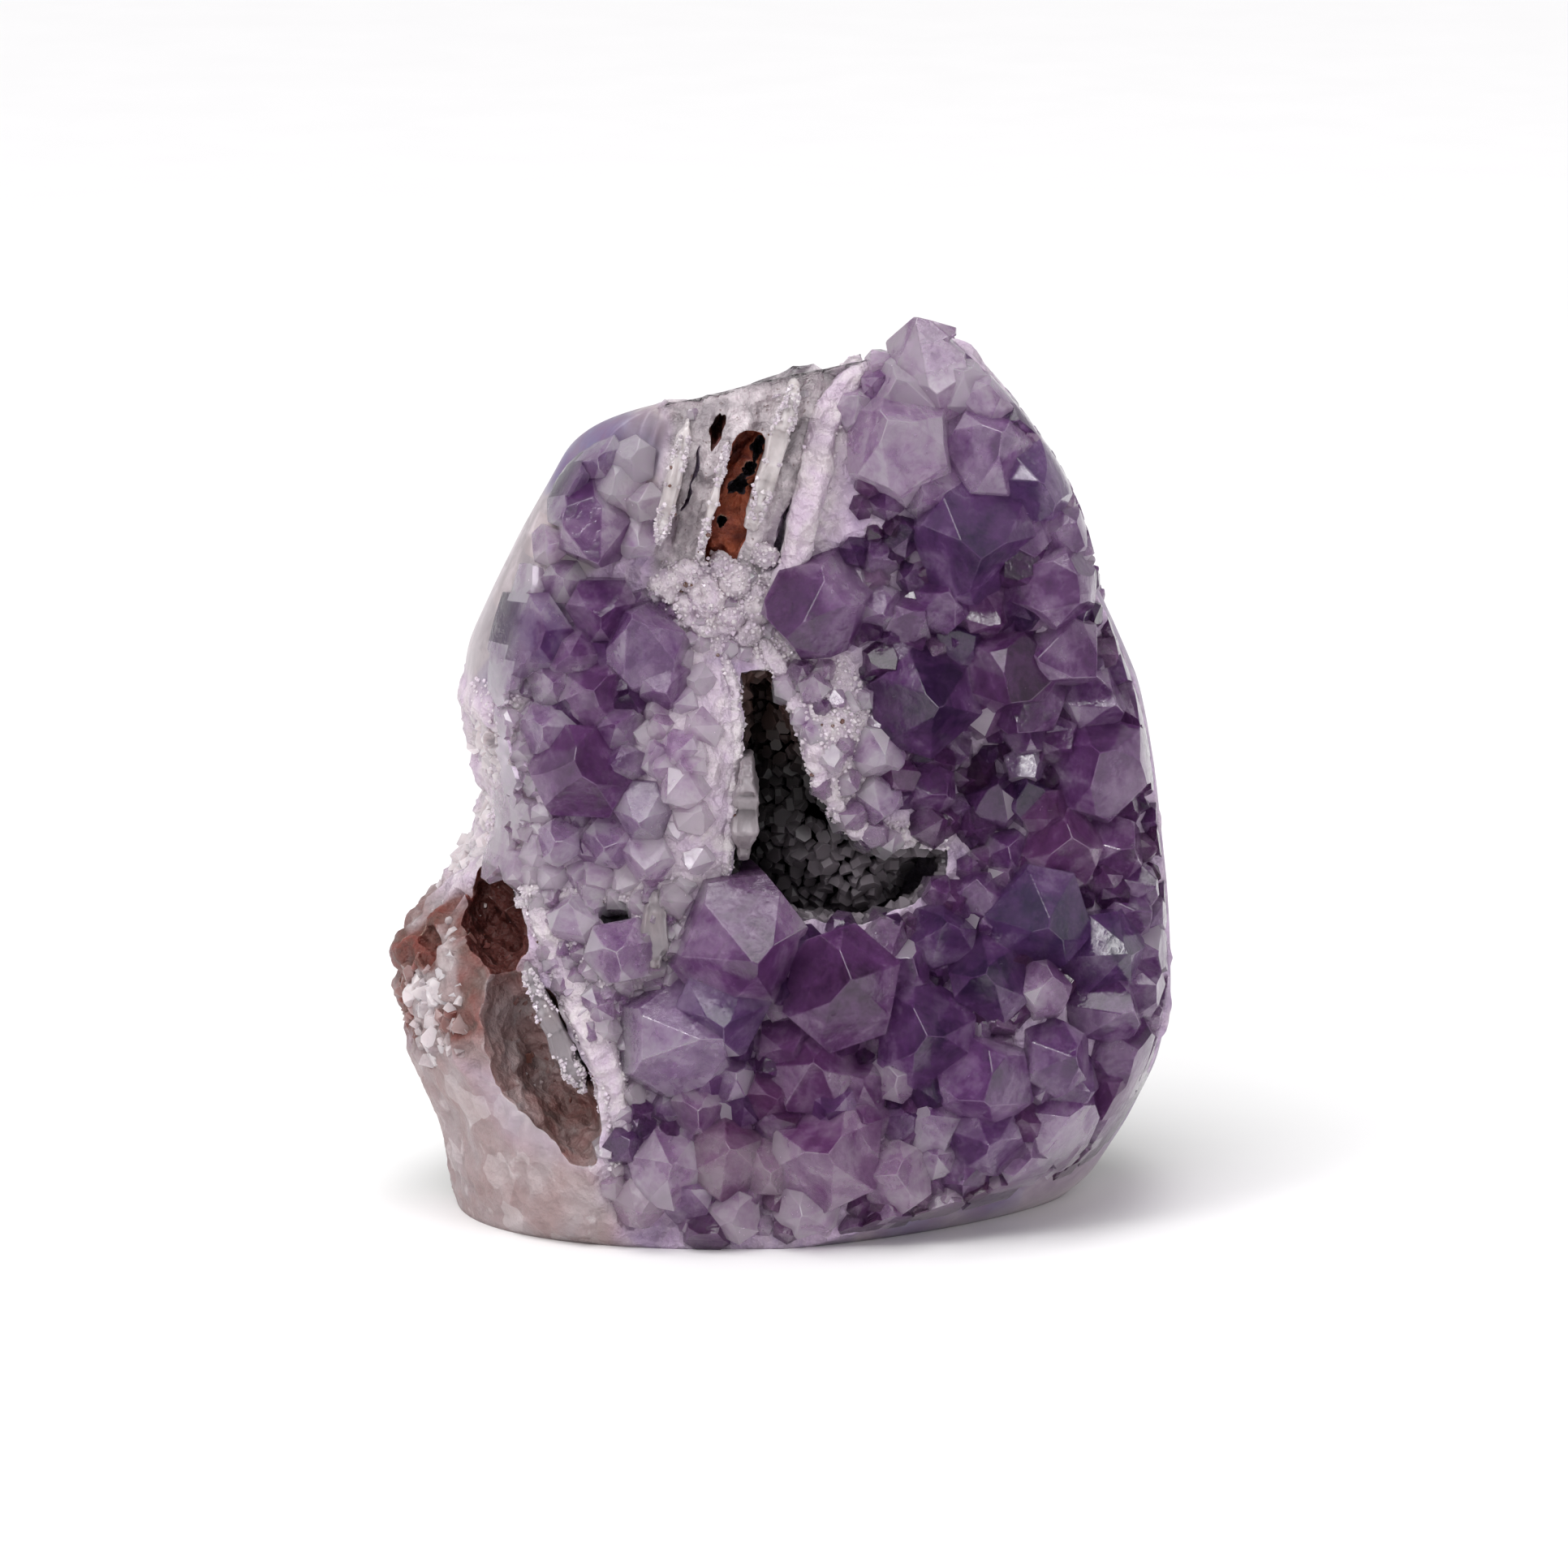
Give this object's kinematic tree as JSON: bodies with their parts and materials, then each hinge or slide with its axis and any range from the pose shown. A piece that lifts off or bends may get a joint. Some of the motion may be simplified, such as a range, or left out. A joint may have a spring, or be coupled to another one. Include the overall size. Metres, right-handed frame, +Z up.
{
  "type": "amethyst druse with calcite",
  "caption": "Standing quartz specimen with a flat base, a polished outside, a front of amethyst points round a dark cave, and thin calcite plates in the quartz.",
  "frame": {"origin": "on the flat base, under the middle of the bounding box", "axes": "+Z up, the crystals face -Y, +X to the right of someone who looks at the crystals"},
  "size_m": [0.106, 0.0758, 0.1269],
  "materials": {
    "amethyst": "polished outside, natural crystal faces at the front",
    "calcite": "rough, chalky white mineral",
    "dark_quartz": "small dark crystal faces"
  },
  "bodies": {
    "root": {"amethyst_druse": "amethyst", "calcite_blade_top_left": "calcite", "calcite_blade_top_middle": "calcite", "calcite_blade_top_right": "calcite", "calcite_blade_pocket": "calcite", "calcite_blade_bridge": "calcite", "calcite_blade_cavity": "calcite", "cavity_crust": "dark_quartz"}
  },
  "joints": []
}
